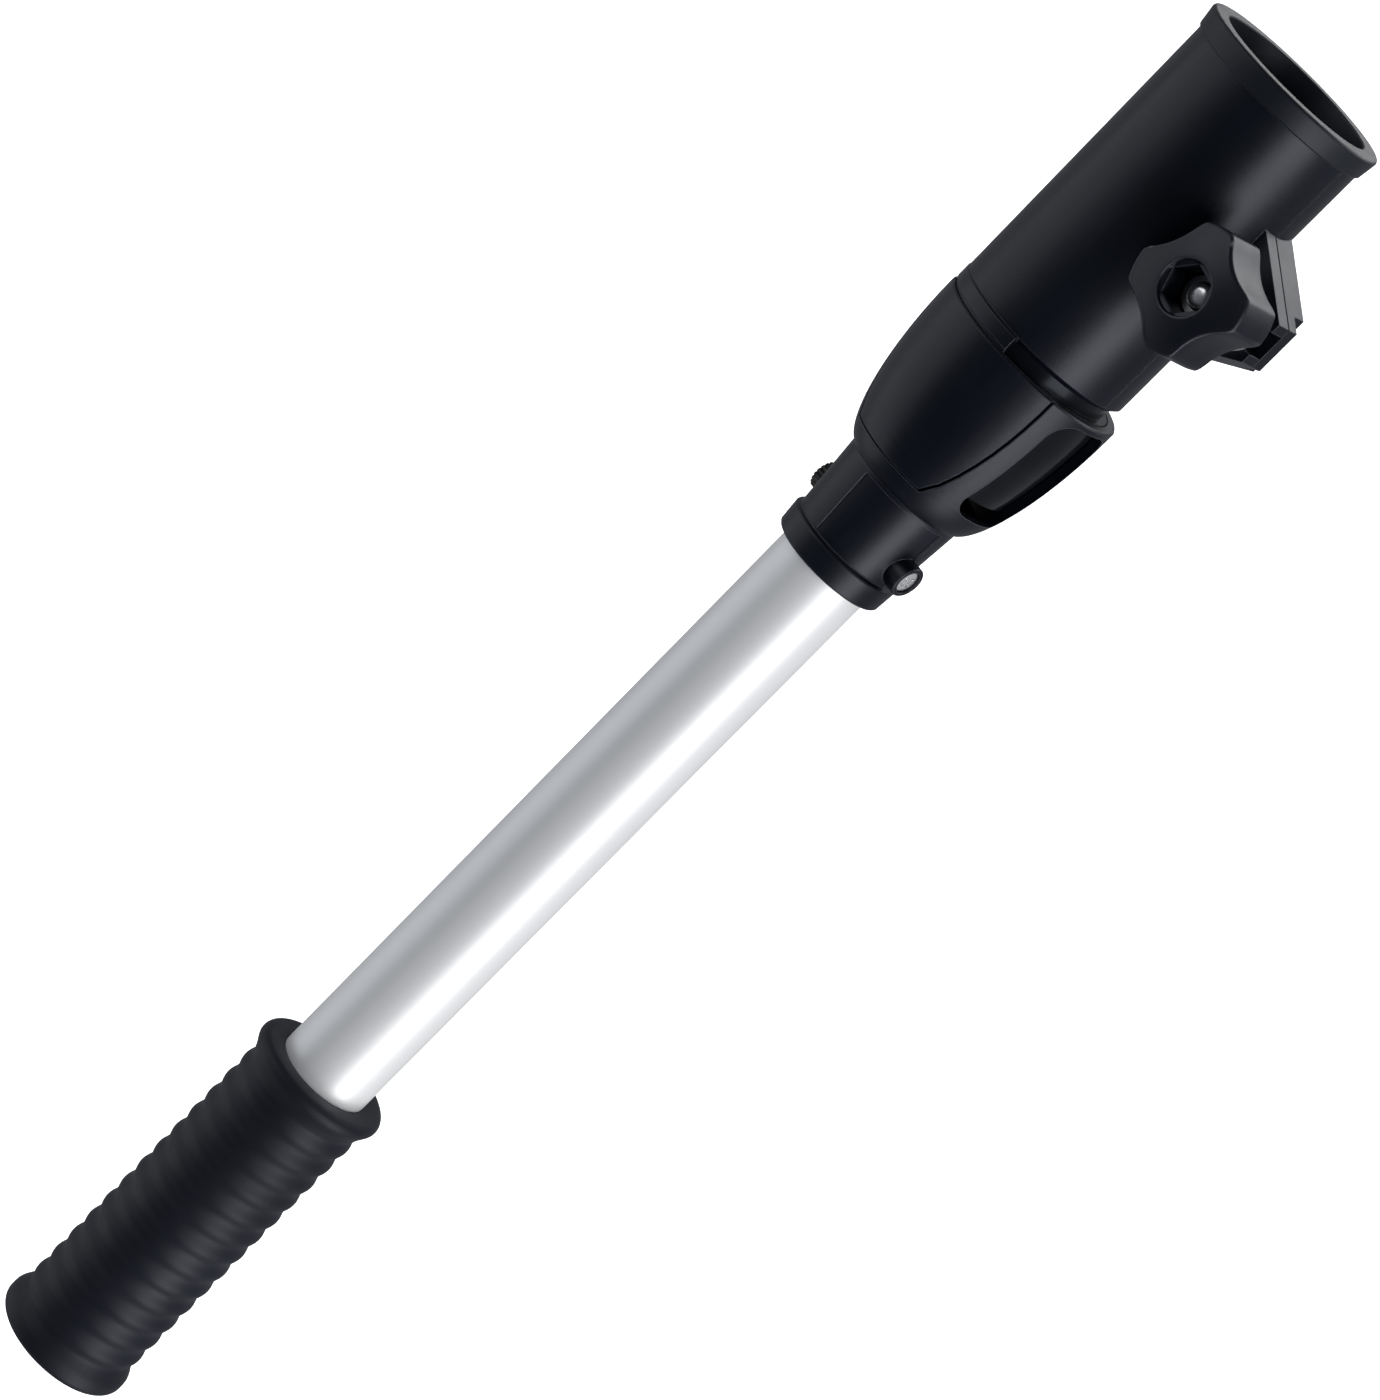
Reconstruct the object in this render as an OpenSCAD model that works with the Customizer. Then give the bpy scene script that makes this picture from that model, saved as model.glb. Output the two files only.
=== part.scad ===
// Clamp-on tiller extension handle: a rubber grip on an aluminium tube, pinned into a moulded
// housing that carries a split clamp socket, closed by a four-lobe knob on a bolt.
// +X runs along the handle and out of the socket's mouth, +Z is the side that the knob faces,
// and the clamp ears point to -Y. The origin is the centre of the socket's bore at its mouth.

/* [Tube] */
// Outside diameter of the aluminium tube
tube_d = 25; // [24:0.1:25.4]
// Wall thickness of the tube
tube_wall = 1.5; // [1:0.1:2]
// Length of tube left bare between the grip and the neck
tube_bare = 179.3; // [80:0.1:400]
// How far the axis of the tube and the housing lies to -Y of the socket's axis
axis_offset = 1.3; // [0:0.1:1.5]

/* [Grip] */
// Length of the rubber grip
grip_len = 101.3; // [90:0.1:130]
// Radius on the crests of the grip's ribs
grip_r = 17.25; // [16.5:0.05:17.5]
// Radius of the flange at the free end
grip_end_r = 18.65; // [18:0.05:19.5]
// Radius of the flange next to the tube
grip_top_r = 18.9; // [18:0.05:19.5]
// Number of ring ribs
rib_count = 13; // [8:1:16]
// Depth of the grooves between the ribs
rib_depth = 0.5; // [0.2:0.05:1]

/* [Neck] */
// Length of the neck that takes the tube
neck_len = 26.3; // [24:0.1:34]
// Radius of the neck where it leaves the lip ring
neck_r0 = 14.75; // [14.6:0.05:15]
// Radius of the neck where it meets the housing's nose
neck_r1 = 16.25; // [16:0.05:16.6]
// Depth of the two recessed quarters of the neck
neck_recess = 0.35; // [0.2:0.05:0.6]
// Diameter of the cross bolt's boss
boss_d = 8.6; // [8:0.1:9]

/* [Housing] */
// Length of the rounded housing
ogive_len = 43; // [40:0.5:50]
// Largest radius of the housing
ogive_r0 = 25.6; // [25.6:0.1:26.2]
// Wall thickness of the housing
ogive_wall = 2.6; // [2.4:0.1:3]
// Half of the height of the side windows
window_half = 10.6; // [8:0.1:11.5]
// Width of the groove round the inlaid side panels
groove = 0.45; // [0.2:0.05:0.8]
// Depth of the inlaid side panels
panel_t = 1.1; // [0.8:0.1:1.4]

/* [Socket] */
// Length of the clamp socket from the mouth to the shoulder
socket_len = 81; // [81:1:100]
// Radius of the liner's bore, which takes the tiller grip
bore_r = 20.9; // [20:0.05:20.9]
// Thickness of the rubber liner
liner_t = 1.2; // [0.8:0.1:1.2]
// Outside radius of the clamp socket at its shoulder end
socket_r0 = 24.0; // [24:0.05:24.4]
// Outside radius of the clamp socket at its mouth end
socket_r1 = 24.3; // [24:0.05:24.6]
// Length of the liner's lip in front of the socket
lip_len = 5.7; // [4:0.1:8]
// Width of the slit that lets the socket close
slit = 0.5; // [0.4:0.1:1]
// Width of the relief slot across the socket's root
relief_w = 3.4; // [3:0.1:4]
// Half of the angle that the relief slot spans
relief_half = 70; // [50:1:80]

/* [Clamp ears] */
// Distance of the ears' middle and the knob from the mouth
ear_x = 43.3; // [40:0.1:50]
// Distance of the ears' outer end from the socket's axis
ear_reach = 43.2; // [42:0.1:46]
// Half of the width of the ears at their outer end
ear_half = 5.85; // [5.5:0.05:6.5]
// Thickness of the forked ear under the knob
near_ear_t = 4.9; // [4.5:0.1:6]
// Thickness of the far ear
far_ear_t = 8.8; // [8:0.1:9.5]

/* [Knob] */
// Distance of the knob's axis from the socket's axis
knob_reach = 34; // [34:0.1:35]
// Height of the knob's domed front above the socket's axis
knob_front = 31.3; // [30:0.1:33]
// Height of the knob's dome
knob_dome = 2; // [1:0.1:3]
// Thickness of the knob, dome included
knob_t = 15.8; // [14:0.1:16]
// Radius over the tips of the lobes
lobe_tip_r = 15.5; // [15:0.1:15.6]
// Radius at the waists between the lobes
lobe_waist_r = 11.9; // [10.5:0.1:12.2]
// Angle of the first lobe from +X, with the knob tight
lobe_phase = 20; // [0:0.5:89]

/* [Hidden] */

round_fn = 96;
rod_fn = 64;
big = 200;

// Stations along the handle
x_root = -socket_len;
shoulder_len = 4.7;
x_seam = x_root - shoulder_len;
x_nose = x_seam - ogive_len;
x_neck = x_nose - neck_len;
x_grip_top = x_neck - tube_bare;
x_grip_end = x_grip_top - grip_len;
tube_r = tube_d / 2;
tube_y = -axis_offset;
tube_in_r = tube_r - tube_wall;
socket_in_r = bore_r + liner_t;
slip = 0.05;

// Points of an arc in a flat outline
function arc(cx, cy, r, a0, a1, steps = 6) =
    [for (i = [0:steps]) let (a = a0 + (a1 - a0) * i / steps) [cx + r * cos(a), cy + r * sin(a)]];

// A solid of revolution about X from an outline of [radius, x] points
module turned(outline) {
    rotate([0, 90, 0]) rotate_extrude($fn = round_fn) polygon(outline);
}

// A cylinder along X from x0 to x1
module rod_x(x0, x1, r) {
    translate([x0, 0, 0]) rotate([0, 90, 0]) cylinder(h = x1 - x0, r = r, $fn = round_fn);
}

// A cylinder along Y from y0 to y1
module rod_y(y0, y1, r) {
    translate([0, y0, 0]) rotate([-90, 0, 0]) cylinder(h = y1 - y0, r = r, $fn = rod_fn);
}

// A cylinder along Z from z0 to z1
module rod_z(z0, z1, r) {
    translate([0, 0, z0]) cylinder(h = z1 - z0, r = r, $fn = rod_fn);
}

// Puts its children on the axis of the tube and the housing
module on_tube_axis() {
    translate([0, tube_y, 0]) children();
}

// Puts its children on the knob's axis
module on_knob_axis() {
    translate([-ear_x, -knob_reach, 0]) children();
}

// ---- Tube and its plugs ----
plug_t = 2;
grip_end_wall = 3.4;
x_tube_back = x_grip_end + grip_end_wall + plug_t;
x_tube_front = x_nose - 2.3;
cross_x = x_neck + 12.4;
cross_shank_r = 2;
cross_hole_r = 2.15;

module tube() {
    color([0.80, 0.81, 0.83])
    on_tube_axis()
    difference() {
        rod_x(x_tube_back, x_tube_front, tube_r);
        rod_x(x_tube_back - 1, x_tube_front + 1, tube_in_r);
        translate([cross_x, 0, 0]) rod_y(-tube_d, tube_d, cross_hole_r);
    }
}

plug_spigot = 14;
plug_bore = 8;

module grip_plug() {
    color([0.12, 0.12, 0.13])
    on_tube_axis()
    turned([[0, x_tube_back - plug_t], [tube_r - 0.3, x_tube_back - plug_t],
            [tube_r, x_tube_back - plug_t + 0.3], [tube_r, x_tube_back],
            [tube_in_r - slip, x_tube_back], [tube_in_r - slip, x_tube_back + plug_spigot - 1],
            [tube_in_r - 1, x_tube_back + plug_spigot], [plug_bore, x_tube_back + plug_spigot],
            [plug_bore, x_tube_back + 1], [0, x_tube_back + 1]]);
}

bolt_plug_half = 10;

module bolt_plug() {
    color([0.85, 0.84, 0.80])
    on_tube_axis()
    difference() {
        turned([[0, cross_x - bolt_plug_half], [tube_in_r - 1, cross_x - bolt_plug_half],
                [tube_in_r - slip, cross_x - bolt_plug_half + 1],
                [tube_in_r - slip, cross_x + bolt_plug_half],
                [0, cross_x + bolt_plug_half]]);
        translate([cross_x, 0, 0]) rod_y(-tube_d, tube_d, cross_hole_r);
    }
}

// ---- Grip ----
end_round = 2.4;
end_flange_len = 8.3;
top_flange_len = 7.7;
top_round = 2.2;
x_ribs0 = x_grip_end + end_flange_len;
x_ribs1 = x_grip_top - top_flange_len;
rib_pitch = (x_ribs1 - x_ribs0) / rib_count;
rib_steps = 6;

// Radius of the ribbed stretch at a distance u along it, counted in ribs
function rib_r(u) = grip_r - rib_depth + rib_depth * pow(abs(sin(180 * u)), 0.7);

module grip() {
    ribs = [for (i = [0:rib_count * rib_steps])
            [rib_r(i / rib_steps), x_ribs0 + i / rib_steps * rib_pitch]];
    color([0.07, 0.08, 0.11])
    on_tube_axis()
    turned(concat(
        [[0, x_grip_end]],
        arc(grip_end_r - end_round, x_grip_end + end_round, end_round, -90, 0, 6),
        [[grip_end_r, x_grip_end + 4.2], [grip_end_r - 0.5, x_grip_end + 5.4],
         [grip_r - 0.1, x_grip_end + 7.2]],
        ribs,
        [[grip_r - 0.5, x_ribs1 + 0.6], [grip_r + 0.1, x_ribs1 + 2.4],
         [grip_top_r - 0.5, x_ribs1 + 4.3]],
        arc(grip_top_r - top_round, x_grip_top - top_round, top_round, 10, 90, 5),
        [[tube_r, x_grip_top], [tube_r, x_grip_end + grip_end_wall],
         [0, x_grip_end + grip_end_wall]]));
}

// ---- Housing ----
x_belly = x_seam - 1.3;
belly_run = ogive_len - 1.3;
nose_ratio = 0.62;
window_x0 = x_nose + 7.7;
window_x1 = x_seam - 1.7;
window_corner = 5;
panel_x0 = x_nose + 5.7;
panel_half0 = 12.8;
panel_half1 = 20.9;
lip_ring_len = 6.3;
boss_reach = 18.8;
head_r = 3.15;
head_t = 2.2;
head_inset = 0.35;
nut_r = 4.05;
nut_seat = 13.7;
nut_reach = 17.6;

// Radius of the rounded housing at x
function ogive_r(x) =
    let (u = min(1, max(0, (x_belly - x) / belly_run)))
    ogive_r0 * (nose_ratio + (1 - nose_ratio) * pow(1 - u * u, 0.58));

// Outline points of the housing's rounded surface, moved inwards by inset
function ogive_side(inset, xa, xb, steps) =
    [for (i = [0:steps]) let (x = xa + (xb - xa) * i / steps) [ogive_r(x) - inset, x]];

// The solid inside the rounded surface, moved inwards by inset
module ogive_solid(inset, xa, xb, steps = 18) {
    turned(concat([[0, xa]], ogive_side(inset, xa, xb, steps), [[0, xb]]));
}

// The chamfered front edge of the rounded surface, and the end of the outline there
function ogive_front() = [[ogive_r0 - 0.4, x_seam], [0, x_seam]];

// Outline of one side panel in plan up to x_end, made smaller by gap on its other sides
module panel_plan(gap, x_end) {
    steps = 8;
    run = x_seam - panel_x0 - gap;
    side = [for (i = [0:steps]) let (u = i / steps)
            [panel_x0 + gap + u * run,
             panel_half0 + (panel_half1 - panel_half0) * pow(1 - pow(1 - u, 2.2), 0.8) - gap]];
    front = [[x_end, side[steps][1]], [x_end, -side[steps][1]]];
    intersection() {
        polygon(concat(side, front, [for (i = [steps:-1:0]) [side[i][0], -side[i][1]]]));
        translate([x_end - big, -big]) square([big, 2 * big]);
    }
}

// Outline of a side window, seen from the side: rounded corners, the front ones larger
module window_plan() {
    steps = 6;
    front = window_corner + 1;
    polygon(concat(
        arc(window_x0 + window_corner, -window_half + window_corner, window_corner, 180, 270, steps),
        arc(window_x1 - front, -window_half + front, front, 270, 360, steps),
        arc(window_x1 - front, window_half - front, front, 0, 90, steps),
        arc(window_x0 + window_corner, window_half - window_corner, window_corner, 90, 180, steps)));
}

// A wedge about the X axis from x0 to x1, between two angles measured from -Y towards +Z
module wedge(x0, x1, a0, a1) {
    reach = 60;
    translate([x0, 0, 0]) rotate([0, 90, 0])
        linear_extrude(x1 - x0)
            polygon(concat([[0, 0]], [for (i = [0:8]) let (a = a0 + (a1 - a0) * i / 8)
                                      reach * [-sin(a), -cos(a)]]));
}

// One of the two opposite recessed quarters of the neck, the one between +Z and -Y
module neck_recess_quarter() {
    xa = x_neck + lip_ring_len + 0.6;
    xb = x_nose - 0.9;
    intersection() {
        difference() {
            rod_x(xa, xb, neck_r1 + 3);
            turned([[0, xa - 1], [neck_r0 - neck_recess, xa - 1], [neck_r1 - neck_recess, xb + 1],
                    [0, xb + 1]]);
        }
        wedge(xa - 1, xb + 1, -2, 92);
    }
}

// Neck, nose and rounded shell before the windows, recesses and holes are cut
module housing_blank() {
    turned(concat(
        [[0, x_neck], [15.0, x_neck], [15.35, x_neck + 0.4], [15.8, x_neck + lip_ring_len - 0.4],
         [15.6, x_neck + lip_ring_len], [neck_r0, x_neck + lip_ring_len + 0.5],
         [neck_r1, x_nose - 0.4]],
        ogive_side(0, x_nose + 0.15, x_nose + 6, 9),
        ogive_side(0, x_nose + 8, x_seam - 0.5, 16), ogive_front()));
}

// Round boss that the cross bolt's head is sunk in
module cross_boss() {
    edge = 0.3;
    translate([cross_x, 0, 0]) {
        rod_y(-boss_reach + edge, 0, boss_d / 2);
        translate([0, -boss_reach, 0]) rotate([-90, 0, 0])
            cylinder(h = edge, r1 = boss_d / 2 - edge, r2 = boss_d / 2, $fn = rod_fn);
    }
}

module housing() {
    color([0.09, 0.09, 0.10])
    on_tube_axis()
    difference() {
        union() {
            difference() {
                housing_blank();
                for (turn = [0, 180]) rotate([turn, 0, 0]) neck_recess_quarter();
            }
            cross_boss();
        }
        rod_x(x_neck - 1, x_tube_front, tube_r);
        ogive_solid(ogive_wall, x_nose + 5, x_seam + 1, 14);
        translate([0, axis_offset, 0]) rod_x(x_seam - core_start, x_seam + 1, socket_in_r);
        translate([cross_x, 0, 0]) {
            rod_y(-tube_d, tube_d, cross_hole_r);
            rod_y(-tube_d, -boss_reach + head_inset + head_t, head_r + 0.1);
            rod_y(nut_seat, tube_d, nut_r + 0.05);
        }
        for (side = [-1, 1])
            translate([0, side * big / 2, 0]) rotate([90, 0, 0])
                linear_extrude(big - 20, center = true) window_plan();
        for (side = [0, 1])
            mirror([0, 0, side])
                difference() {
                    linear_extrude(big) panel_plan(0, x_seam + 1);
                    ogive_solid(panel_t, x_nose, x_seam + 2);
                }
    }
}

// One inlaid side panel on the +Z side
module side_panel() {
    color([0.10, 0.10, 0.11])
    on_tube_axis()
    intersection() {
        linear_extrude(big) panel_plan(groove, x_seam - slip);
        difference() {
            turned(concat([[0, x_nose]], ogive_side(0, x_nose, x_seam - 0.5, 18), ogive_front()));
            ogive_solid(panel_t - slip, x_nose - 1, x_seam + 1);
        }
    }
}

module panel_front() {
    side_panel();
}

module panel_back() {
    mirror([0, 0, 1]) side_panel();
}

// ---- Core: the glossy inner piece that joins the housing and the socket ----
core_x0 = x_nose + 11.7;
core_wall = 2.2;
core_lap = 3;
core_floor = 3;
core_gap = 0.3;
core_start = 1;

module core() {
    inset = ogive_wall + core_gap;
    front_r = socket_in_r - slip;
    hollow_r = front_r - core_wall;
    x_front = x_root + core_lap;
    color([0.05, 0.05, 0.06])
    difference() {
        union() {
            on_tube_axis() ogive_solid(inset, core_x0, x_seam, 12);
            rod_x(x_seam - core_start + slip, x_front, front_r);
        }
        on_tube_axis() ogive_solid(inset + core_wall, core_x0 - 1, x_seam - 2, 12);
        rod_x(x_seam - 4, x_front - core_floor, hollow_r);
    }
}

// ---- Socket ----
shoulder_r = 25.3;
shoulder_step = 0.7;
x_lip = -lip_len;
jaw_chamfer = 1.4;
ear_slope = 0.588;
fork_arm = 2.4;
far_step = 4;
far_short = 3.6;
bolt_r = 3;
bolt_hole_r = 3.3;
bolt_seat = 5.4;
hex_af = 10;

// Outline of the ears in plan, cut off at a distance reach from the socket's axis
module ear_plan(reach) {
    half = ear_half + (ear_reach - reach) * ear_slope;
    root = 20;
    root_half = ear_half + (ear_reach - root) * ear_slope;
    translate([-ear_x, 0])
        polygon([[-root_half, -root], [-half, -reach], [half, -reach], [root_half, -root]]);
}

module ears() {
    translate([0, 0, -far_step]) linear_extrude(far_step + near_ear_t) ear_plan(ear_reach);
    translate([0, 0, -far_ear_t]) linear_extrude(far_ear_t) ear_plan(ear_reach - far_short);
}

module socket() {
    fork_half = ear_half - fork_arm;
    color([0.09, 0.09, 0.10])
    difference() {
        union() {
            on_tube_axis()
            turned([[0, x_seam], [shoulder_r - 0.6, x_seam], [shoulder_r - 0.6, x_seam + shoulder_step],
                    [shoulder_r, x_seam + shoulder_step + 0.3], [shoulder_r, x_root - 0.4],
                    [shoulder_r - 0.4, x_root], [0, x_root]]);
            turned([[0, x_root - 1], [socket_r0, x_root - 1], [socket_r1, x_lip], [0, x_lip]]);
            ears();
        }
        rod_x(x_seam - 1, 1, socket_in_r);
        wedge(x_seam - 1, x_seam + relief_w, -relief_half, relief_half);
        difference() {
            wedge(x_seam, x_root + 1, -relief_half, relief_half);
            turned([[0, x_seam], [socket_r0 - jaw_chamfer, x_seam],
                    [socket_r0 - jaw_chamfer, x_seam + relief_w], [socket_r0, x_root],
                    [socket_r0 + 1, x_root + 2], [0, x_root + 2]]);
        }
        translate([x_seam - 1, -big, -slit / 2]) cube([big, big, slit]);
        on_knob_axis() {
            rod_z(0, near_ear_t + 1, fork_half);
            translate([-fork_half, -big, 0]) cube([2 * fork_half, big, near_ear_t + 1]);
            rod_z(-far_ear_t - 1, 1, bolt_hole_r);
            translate([0, 0, -far_ear_t - 1])
                cylinder(h = far_ear_t + 1 - bolt_seat, r = (hex_af + 0.3) / sqrt(3), $fn = 6);
        }
    }
}

// ---- Liner ----
lip_r0 = 24.9;
lip_r1 = 25.5;
mouth_chamfer = 0.4;

module liner() {
    x_back = x_root + core_lap + 0.2;
    color([0.13, 0.13, 0.14])
    turned([[bore_r, x_back], [socket_in_r - slip, x_back], [socket_in_r - slip, x_lip],
            [lip_r0 - 0.3, x_lip], [lip_r0, x_lip + 0.4], [lip_r1, -0.9], [lip_r1 - 0.2, -0.3],
            [lip_r1 - 0.7, 0], [bore_r + mouth_chamfer, 0], [bore_r, -mouth_chamfer]]);
}

// ---- Cross bolt and nut ----
module cross_bolt() {
    y_top = -boss_reach + head_inset;
    recess = 1.1;
    color([0.85, 0.86, 0.88])
    on_tube_axis()
    translate([cross_x, 0, 0])
    difference() {
        union() {
            rod_y(y_top, y_top + head_t, head_r);
            rod_y(y_top, nut_reach - 0.6, cross_shank_r);
        }
        for (turn = [0, 90])
            translate([0, y_top, 0]) rotate([0, 45 + turn, 0])
                cube([3.6, 2 * recess, 0.9], center = true);
    }
}

module cross_nut() {
    teeth = 20;
    color([0.16, 0.16, 0.16])
    on_tube_axis()
    translate([cross_x, 0, 0])
    difference() {
        rod_y(nut_seat, nut_reach, nut_r);
        rod_y(nut_seat - 1, nut_reach + 1, cross_shank_r + slip);
        for (i = [0:teeth - 1])
            rotate([0, i * 360 / teeth, 0])
                translate([nut_r, nut_seat + 1.4, 0]) rotate([0, 45, 0])
                    translate([-0.25, 0, -0.25]) cube([0.5, nut_reach, 0.5]);
    }
}

// ---- Clamp bolt ----
bolt_len = 30;
bolt_head_t = 4;

module clamp_bolt() {
    color([0.80, 0.80, 0.82])
    on_knob_axis()
    union() {
        rod_z(-bolt_seat, bolt_len - bolt_seat - 0.6, bolt_r);
        translate([0, 0, bolt_len - bolt_seat - 0.6])
            cylinder(h = 0.6, r1 = bolt_r, r2 = bolt_r - 0.6, $fn = rod_fn);
        translate([0, 0, -bolt_seat - bolt_head_t])
            cylinder(h = bolt_head_t, r = hex_af / sqrt(3), $fn = 6);
    }
}

// ---- Knob, its nut and its washer ----
washer_r = 8;
washer_t = 1.4;
washer_z = near_ear_t + 0.02;
knob_hub_r = 7.9;
knob_z0 = washer_z + washer_t + 0.1;
knob_back = knob_front - knob_t;
lobe_count = 4;
dish_r = 6.65;
dish_t = 0.9;
pocket_af = 10.4;
knob_nut_t = 5.2;
knob_nut_top = 22.8;
running = 0.06;
back_bevel = 0.8;
tip_bevel = 0.8;

module knob_washer() {
    color([0.72, 0.72, 0.74])
    on_knob_axis()
    difference() {
        rod_z(washer_z, washer_z + washer_t, washer_r);
        rod_z(washer_z - 1, washer_z + washer_t + 1, bolt_hole_r);
    }
}

module knob_nut() {
    color([0.78, 0.78, 0.80])
    on_knob_axis()
    rotate([0, 0, lobe_phase])
    difference() {
        translate([0, 0, knob_nut_top - knob_nut_t])
            cylinder(h = knob_nut_t, r = hex_af / sqrt(3), $fn = 6);
        rod_z(knob_nut_top - knob_nut_t - 1, knob_nut_top + 1, bolt_r + running);
    }
}

// Outline of the lobes: a disc with round scallops
module lobe_plan() {
    scallop_r = 17;
    difference() {
        circle(r = lobe_tip_r + 1, $fn = rod_fn);
        for (i = [0:lobe_count - 1])
            rotate(i * 360 / lobe_count + 180 / lobe_count)
                translate([lobe_waist_r + scallop_r, 0]) circle(r = scallop_r, $fn = round_fn);
    }
}

// The knob's domed and bevelled shape before the scallops are cut
module knob_blank() {
    z_edge = knob_front - knob_dome;
    rotate_extrude($fn = round_fn)
        polygon([[0, knob_back], [lobe_tip_r - back_bevel, knob_back],
                 [lobe_tip_r, knob_back + back_bevel], [lobe_tip_r, z_edge - tip_bevel],
                 [lobe_tip_r - tip_bevel, z_edge], [dish_r, knob_front], [0, knob_front]]);
}

module knob() {
    color([0.10, 0.11, 0.12])
    on_knob_axis()
    rotate([0, 0, lobe_phase])
    difference() {
        union() {
            intersection() {
                knob_blank();
                translate([0, 0, knob_back - 1]) linear_extrude(knob_t + 2) lobe_plan();
            }
            rod_z(knob_z0, knob_back + 1, knob_hub_r);
        }
        rod_z(knob_front - dish_t, knob_front + 1, dish_r);
        translate([0, 0, knob_nut_top - knob_nut_t])
            cylinder(h = knob_front, r = pocket_af / sqrt(3), $fn = 6);
        rod_z(knob_z0 - 1, knob_front, bolt_hole_r);
    }
}

tube();
grip();
grip_plug();
bolt_plug();
housing();
panel_front();
panel_back();
core();
socket();
liner();
cross_bolt();
cross_nut();
clamp_bolt();
knob_washer();
knob_nut();
knob();
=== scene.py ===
import math

import bmesh
import bpy
from mathutils import Matrix, Vector


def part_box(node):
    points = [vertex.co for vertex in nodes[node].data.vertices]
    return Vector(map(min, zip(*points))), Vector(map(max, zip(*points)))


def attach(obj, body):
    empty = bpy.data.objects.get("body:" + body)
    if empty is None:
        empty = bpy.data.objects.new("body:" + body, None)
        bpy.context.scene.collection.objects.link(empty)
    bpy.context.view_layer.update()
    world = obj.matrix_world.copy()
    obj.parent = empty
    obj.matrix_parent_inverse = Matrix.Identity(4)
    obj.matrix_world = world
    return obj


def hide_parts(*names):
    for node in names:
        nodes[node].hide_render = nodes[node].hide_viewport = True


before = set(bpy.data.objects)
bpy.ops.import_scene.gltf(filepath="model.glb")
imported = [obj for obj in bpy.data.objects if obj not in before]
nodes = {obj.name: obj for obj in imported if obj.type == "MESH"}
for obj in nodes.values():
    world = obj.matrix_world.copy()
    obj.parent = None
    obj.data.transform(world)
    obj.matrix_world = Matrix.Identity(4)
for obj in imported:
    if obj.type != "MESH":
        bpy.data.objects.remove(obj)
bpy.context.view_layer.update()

MM = 0.001
TAU = 2 * math.pi

# ---- Places and outer sizes of the nodes, read from the frame, in millimetres ----
def box_mm(node):
    low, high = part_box(node)
    return low / MM, high / MM


def middle(node):
    low, high = box_mm(node)
    return (low + high) / 2


TUBE_LOW, TUBE_HIGH = box_mm("tube")
TUBE_Y = middle("tube").y
TUBE_R = (TUBE_HIGH.z - TUBE_LOW.z) / 2
GRIP_LOW, GRIP_HIGH = box_mm("grip")
GRIP_X0, GRIP_X1 = GRIP_LOW.x, GRIP_HIGH.x
LINER_BACK_X = box_mm("liner")[0].x
EAR_X, KNOB_Y = middle("knob").xy
KNOB_HUB_Z, KNOB_FRONT = box_mm("knob")[0].z, box_mm("knob")[1].z
NUT_Z0, NUT_TOP = box_mm("knob_nut")[0].z, box_mm("knob_nut")[1].z
BOLT_HEAD_Z, BOLT_END = box_mm("clamp_bolt")[0].z, box_mm("clamp_bolt")[1].z
CROSS_X = middle("cross_bolt").x
CROSS_HEAD_Y, CROSS_END_Y = box_mm("cross_bolt")[0].y, box_mm("cross_bolt")[1].y
CROSS_HEAD_R = (box_mm("cross_bolt")[1].z - box_mm("cross_bolt")[0].z) / 2

# ---- Sizes inside the nodes, the same as in the part, in millimetres ----
AXIS_R = 0.02
TUBE_WALL = 1.5
GRIP_R = 17.25
GRIP_END_R = 18.65
GRIP_TOP_R = 18.9
END_FLANGE = 8.3
TOP_FLANGE = 7.7
RIB_COUNT = 13
RIB_DEPTH = 0.7
BORE_R = 20.9
LINER_OUT_R = 22.05
LIP_X = -5.7
LIP_R0 = 24.9
LIP_R1 = 25.5
KNOB_DOME = 2.0
KNOB_BACK = 15.5
KNOB_HUB_R = 7.9
LOBE_COUNT = 4
LOBE_TIP_R = 15.5
LOBE_WAIST_R = 11.9
SCALLOP_R = 17.0
LOBE_PHASE = math.radians(20)
DISH_R = 6.65
DISH_DEPTH = 0.9
POCKET_AF = 10.4
NUT_AF = 10.0
NUT_CORNER_R = NUT_AF / math.sqrt(3)
BOLT_R = 3.0
BOLT_HOLE_R = 3.3
BOLT_HEAD_T = 4.0
BOLT_SEAT = BOLT_HEAD_Z + BOLT_HEAD_T
CROSS_HEAD_T = 2.2
CROSS_SHANK_R = 2.0


# ---- Mesh helpers ----
def piece(name, mesh, material, body, *stands_for, sharp=40):
    """Links a finished mesh as a piece that rides on a body and stands for CAD nodes."""
    mesh.shade_smooth()
    mesh.set_sharp_from_angle(angle=math.radians(sharp))
    mesh.materials.append(material)
    obj = bpy.data.objects.new(name, mesh)
    bpy.context.scene.collection.objects.link(obj)
    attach(obj, body)
    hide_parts(*stands_for)
    return obj


def mesh_from_rings(name, rings, closed=True):
    """Skins rings of equal length, in millimetres. If closed, the last ring joins the first."""
    b = bmesh.new()
    count = len(rings[0])
    rows = [[b.verts.new(Vector(p) * MM) for p in ring] for ring in rings]
    pairs = list(zip(rows, rows[1:])) + ([(rows[-1], rows[0])] if closed else [])
    for low, high in pairs:
        for i in range(count):
            j = (i + 1) % count
            b.faces.new((low[i], low[j], high[j], high[i]))
    if not closed:
        b.faces.new(rows[0])
        b.faces.new(rows[-1])
    bmesh.ops.recalc_face_normals(b, faces=b.faces)
    mesh = bpy.data.meshes.new(name)
    b.to_mesh(mesh)
    b.free()
    return mesh


def arc(cx, cr, radius, start, end, steps=6):
    """Points (x, r) of an arc in a lathe outline, angles in degrees from +x towards +r."""
    turns = [math.radians(start + (end - start) * i / steps) for i in range(steps + 1)]
    return [(cx + radius * math.cos(t), cr + radius * math.sin(t)) for t in turns]


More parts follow.
